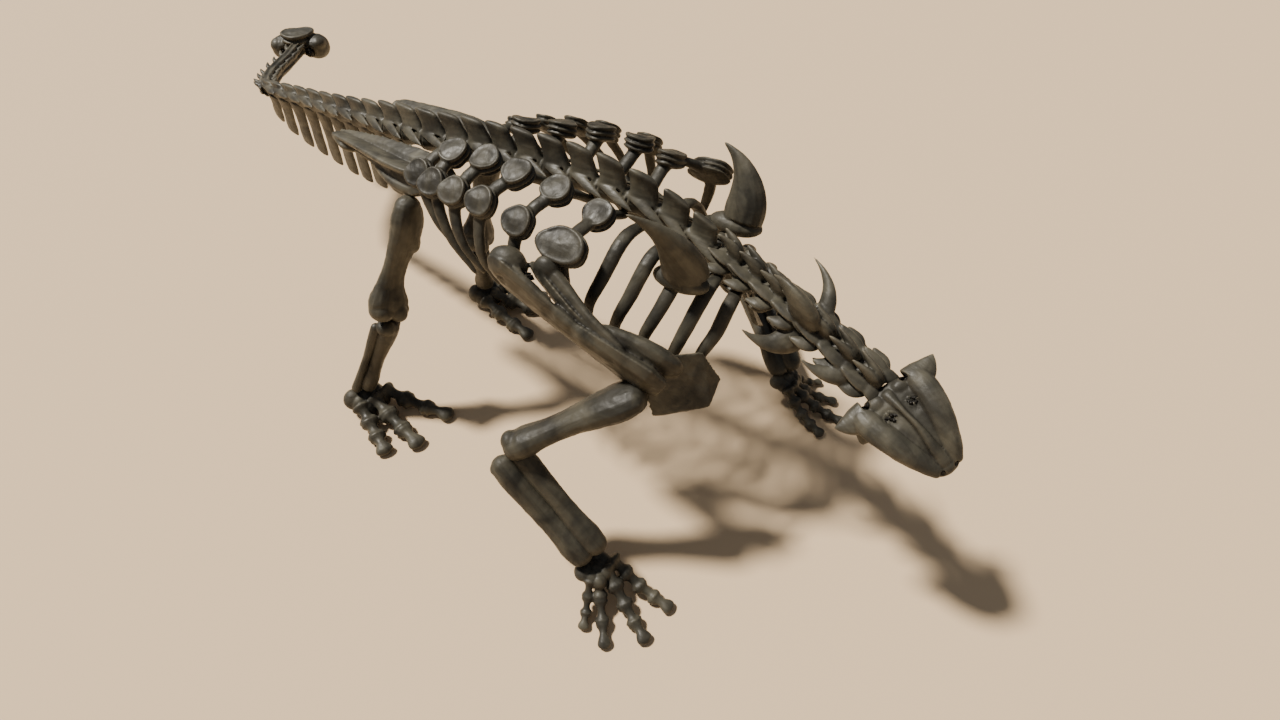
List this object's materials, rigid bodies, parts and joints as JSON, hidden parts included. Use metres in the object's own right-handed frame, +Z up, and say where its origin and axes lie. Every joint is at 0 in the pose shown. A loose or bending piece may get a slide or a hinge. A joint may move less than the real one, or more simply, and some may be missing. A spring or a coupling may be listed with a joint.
{
  "type": "dinosaur skeleton",
  "caption": "Mounted fossil skeleton of a walking armoured dinosaur with osteoderms, shoulder and neck spikes, horned skull and clubbed tail",
  "frame": {"origin": "middle of the skeleton's bounding box, at the height of the soles", "axes": "+X to the animal's left, +Y from the head to the tail, +Z up"},
  "size_m": [2.4104, 5.0265, 1.4664],
  "materials": {
    "fossil_bone": "dark grey-brown mineralised bone, semi-gloss, darker in its hollows and paler on its edges",
    "armour_bone": "dark grey-brown mineralised bone armour, semi-gloss with fine grooves"
  },
  "bodies": {
    "root": {"skull": "fossil_bone", "mandible": "fossil_bone", "neck_vertebrae": "fossil_bone", "back_vertebrae": "fossil_bone", "sacrum": "fossil_bone", "tail_vertebrae": "fossil_bone", "tail_handle": "fossil_bone", "tail_club": "armour_bone", "rib_right_01": "fossil_bone", "rib_right_02": "fossil_bone", "rib_right_03": "fossil_bone", "rib_right_04": "fossil_bone", "rib_right_05": "fossil_bone", "rib_right_06": "fossil_bone", "rib_right_07": "fossil_bone", "rib_right_08": "fossil_bone", "rib_right_09": "fossil_bone", "rib_right_10": "fossil_bone", "rib_right_11": "fossil_bone", "shoulder_spike_right": "armour_bone", "scapula_right": "fossil_bone", "humerus_right": "fossil_bone", "ulna_right": "fossil_bone", "radius_right": "fossil_bone", "hand_right": "fossil_bone", "ilium_right": "fossil_bone", "femur_right": "fossil_bone", "tibia_right": "fossil_bone", "fibula_right": "fossil_bone", "foot_right": "fossil_bone", "rib_left_01": "fossil_bone", "rib_left_02": "fossil_bone", "rib_left_03": "fossil_bone", "rib_left_04": "fossil_bone", "rib_left_05": "fossil_bone", "rib_left_06": "fossil_bone", "rib_left_07": "fossil_bone", "rib_left_08": "fossil_bone", "rib_left_09": "fossil_bone", "rib_left_10": "fossil_bone", "rib_left_11": "fossil_bone", "shoulder_spike_left": "armour_bone", "scapula_left": "fossil_bone", "humerus_left": "fossil_bone", "ulna_left": "fossil_bone", "radius_left": "fossil_bone", "hand_left": "fossil_bone", "ilium_left": "fossil_bone", "femur_left": "fossil_bone", "tibia_left": "fossil_bone", "fibula_left": "fossil_bone", "foot_left": "fossil_bone"}
  },
  "joints": []
}
